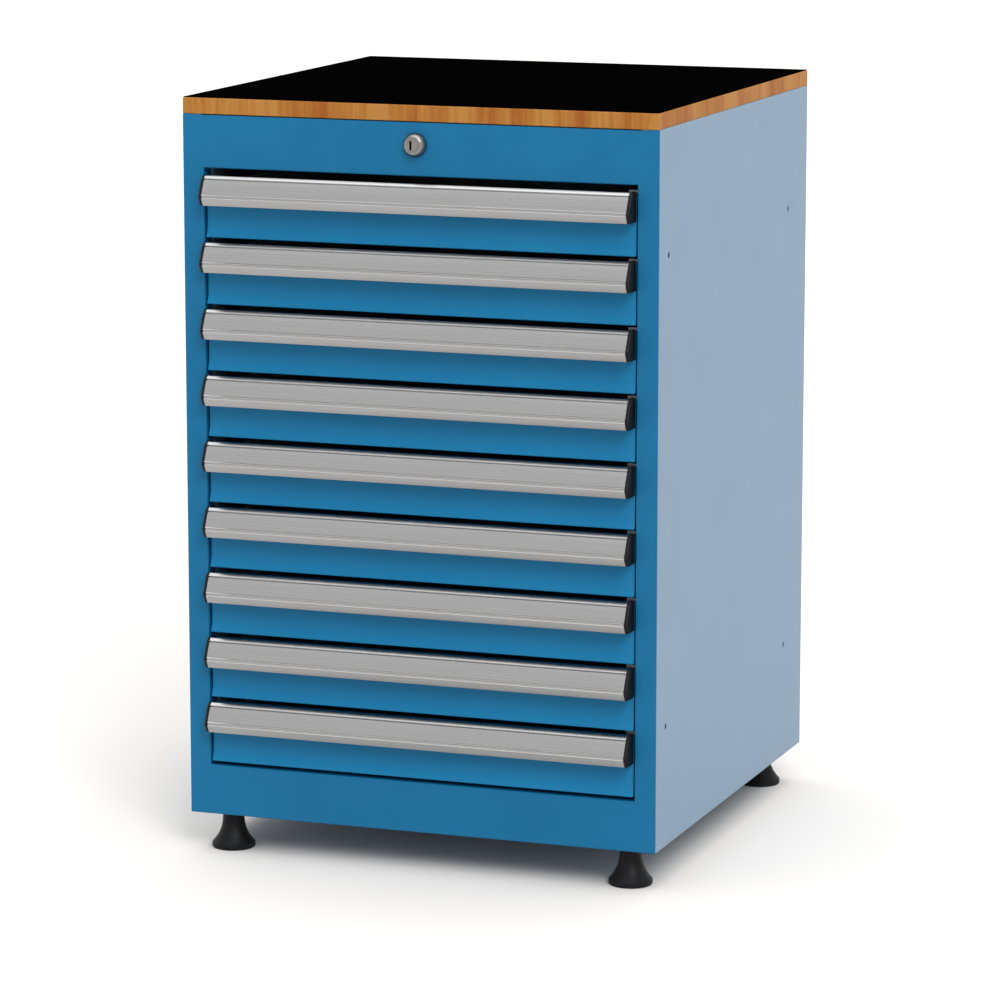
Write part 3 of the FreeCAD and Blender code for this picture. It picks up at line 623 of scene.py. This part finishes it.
def drawers():
    firstBottom = corners("drawer_1_front")[0].z
    plane = corners("front_frame")[0].y
    atFirst = Vector((0, plane, firstBottom)) * mm
    kinds = {
        "front": (drawerFrontMesh(), "blue_enamel", None, atFirst),
        "handle": (handleMesh(), "aluminium", None, atFirst),
        "end_caps": (capMesh(), "black_plastic", None, atFirst),
    }
    for kind, look in drawerLook.items():
        radius = look["arris"]
        mesh = roundedMesh(f"drawer_1_{kind}", look["slot"], lambda middle: radius, radius, look["seams"])
        kinds[kind] = (mesh, look["slot"], radius * mm, Vector((0, 0, 0)))
    for kind, (mesh, slotName, bevel, place) in kinds.items():
        for number in drawerNumbers:
            node = f"drawer_{number}_{kind}"
            shift = Vector((0, 0, corners(f"drawer_{number}_front")[0].z - firstBottom)) * mm
            body = f"mid_rails_{number}" if kind == "mid_rails" else f"drawer_{number}"
            addPiece(f"{kind}_{number}", mesh, body, [node], place + shift, bevel)


frontFrame()
sidePanels()
plainPieces()
worktop()
for spot in ("front_left", "front_right", "rear_left", "rear_right"):
    foot(spot)
lock()
drawers()


# studio

studio = {
    "floorSize": 80.0,
    "floorTone": "#E3E0DD",
    "bounceTone": "#CBCBCB",  # the floor as the object's matt pieces see it
    "wall": 0.58,  # strength of the sky up to wallTop, and overhead from ceilingStart
    "wallTop": 48.0,
    "ceiling": 3.0,
    "ceilingStart": 70.0,
    "keyStrength": 1.5,
    "keySoftness": 26.0,
    "keyElevation": 38.0,
    "keyAzimuth": 38.0,  # degrees to the right of straight in front
}


def seenDirectly(tree):
    # 1 for the rays that show the white background: the camera's, and those in metal or glass
    path = addNode(tree, "ShaderNodeLightPath").outputs
    shown = path["Is Camera Ray"]
    for ray in ("Is Glossy Ray", "Is Transmission Ray"):
        links = {0: shown, 1: path[ray]}
        shown = addNode(tree, "ShaderNodeMath", {"operation": "MAXIMUM"}, links).outputs[0]
    return shown


def floor():
    half = studio["floorSize"] / 2
    mesh = bpy.data.meshes.new("studio_floor")
    places = [(-half, -half, 0), (half, -half, 0), (half, half, 0), (-half, half, 0)]
    mesh.from_pydata(places, [], [(0, 1, 2, 3)])
    material = bpy.data.materials.new("matt_paper")
    material.use_nodes = True
    tree = material.node_tree
    tree.nodes.remove(tree.nodes["Principled BSDF"])
    tones = {"data_type": "RGBA", 6: toLinear(studio["bounceTone"]), 7: toLinear(studio["floorTone"])}
    tone = addNode(tree, "ShaderNodeMix", tones, {0: seenDirectly(tree)})
    paper = addNode(tree, "ShaderNodeBsdfDiffuse", links={"Color": tone.outputs[2]})
    tree.links.new(paper.outputs[0], tree.nodes["Material Output"].inputs["Surface"])
    mesh.materials.append(material)
    piece = bpy.data.objects.new("studio_floor", mesh)
    bpy.context.scene.collection.objects.link(piece)


def sky():
    world = bpy.data.worlds.new("studio_sky")
    world.use_nodes = True
    tree = world.node_tree
    shade = tree.nodes["Background"]
    direction = addNode(tree, "ShaderNodeTexCoord").outputs["Generated"]
    height = addNode(tree, "ShaderNodeSeparateXYZ", links={0: direction}).outputs["Z"]
    settings = {
        "From Min": math.sin(math.radians(studio["wallTop"])), "To Min": studio["wall"],
        "From Max": math.sin(math.radians(studio["ceilingStart"])), "To Max": studio["ceiling"],
    }
    level = addNode(tree, "ShaderNodeMapRange", settings, {"Value": height}).outputs["Result"]
    # the white background is 1 where it is seen directly, and the ceiling stays brighter than that
    strength = addNode(tree, "ShaderNodeMath", {"operation": "MAXIMUM"}, {0: level, 1: seenDirectly(tree)})
    tree.links.new(strength.outputs[0], shade.inputs["Strength"])
    shade.inputs["Color"].default_value = (1, 1, 1, 1)
    bpy.context.scene.world = world


def keyLight():
    lamp = bpy.data.lights.new("key_light", "SUN")
    lamp.energy = studio["keyStrength"]
    lamp.angle = math.radians(studio["keySoftness"])
    elevation = math.radians(studio["keyElevation"])
    azimuth = math.radians(studio["keyAzimuth"])
    toward = Vector((math.sin(azimuth) * math.cos(elevation), -math.cos(azimuth) * math.cos(elevation),
                     math.sin(elevation)))
    holder = bpy.data.objects.new("key_light", lamp)
    bpy.context.scene.collection.objects.link(holder)
    holder.rotation_mode = "QUATERNION"
    holder.rotation_quaternion = toward.to_track_quat("Z", "Y")


view = {
    "place": (1.8055, -4.9647, 1.3513),
    "yaw": 0.3492,  # radians to the left of straight ahead
    "pitch": 0.1815,  # radians down
    "lens": 164.07, "sensor": 36, "farthest": 200,
}


def camera():
    lens = bpy.data.cameras.new("camera")
    lens.lens = view["lens"]
    lens.sensor_width = view["sensor"]
    lens.clip_end = view["farthest"]
    holder = bpy.data.objects.new("camera", lens)
    bpy.context.scene.collection.objects.link(holder)
    holder.location = view["place"]
    holder.rotation_euler = (math.pi / 2 - view["pitch"], 0, view["yaw"])
    bpy.context.scene.camera = holder


floor()
sky()
keyLight()
camera()
bpy.context.scene.view_settings.view_transform = "Standard"
print("studio ready")
